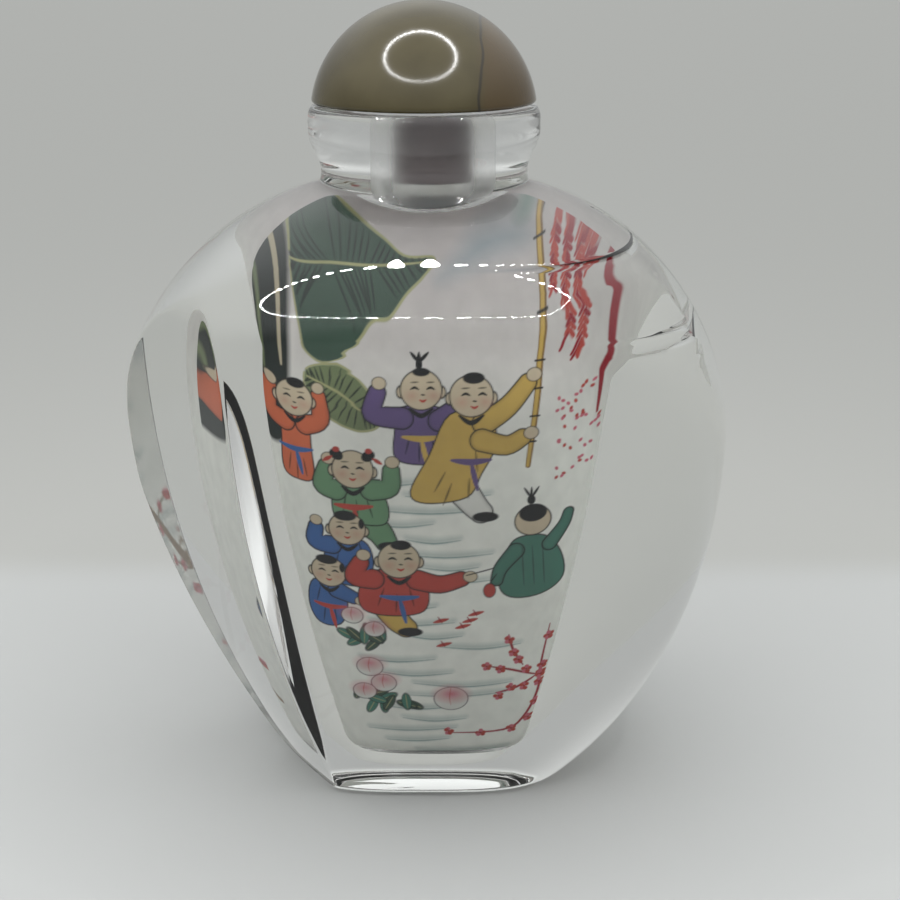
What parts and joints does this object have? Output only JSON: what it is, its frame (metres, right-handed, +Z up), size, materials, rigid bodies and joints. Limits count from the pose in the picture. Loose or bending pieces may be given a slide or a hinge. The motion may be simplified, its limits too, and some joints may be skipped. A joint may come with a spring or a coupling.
{
  "type": "snuff bottle",
  "caption": "Flattened ovoid clear glass snuff bottle with ground bevels, a picture painted inside, and a domed hardstone stopper on a plug that lifts out of the neck.",
  "frame": {"origin": "middle of the flat foot, on the surface that the bottle stands on", "axes": "+Z up along the neck, -Y towards the painted front, +X to the right seen from the front"},
  "size_m": [0.0624, 0.045, 0.0821],
  "materials": {
    "bottle_glass": "polished",
    "inside_painting": "matte",
    "hardstone": "polished",
    "plug": "matte"
  },
  "bodies": {
    "root": {"bottle_body": "bottle_glass", "stopper_cap": "hardstone", "stopper_plug": "plug"}
  },
  "joints": []
}
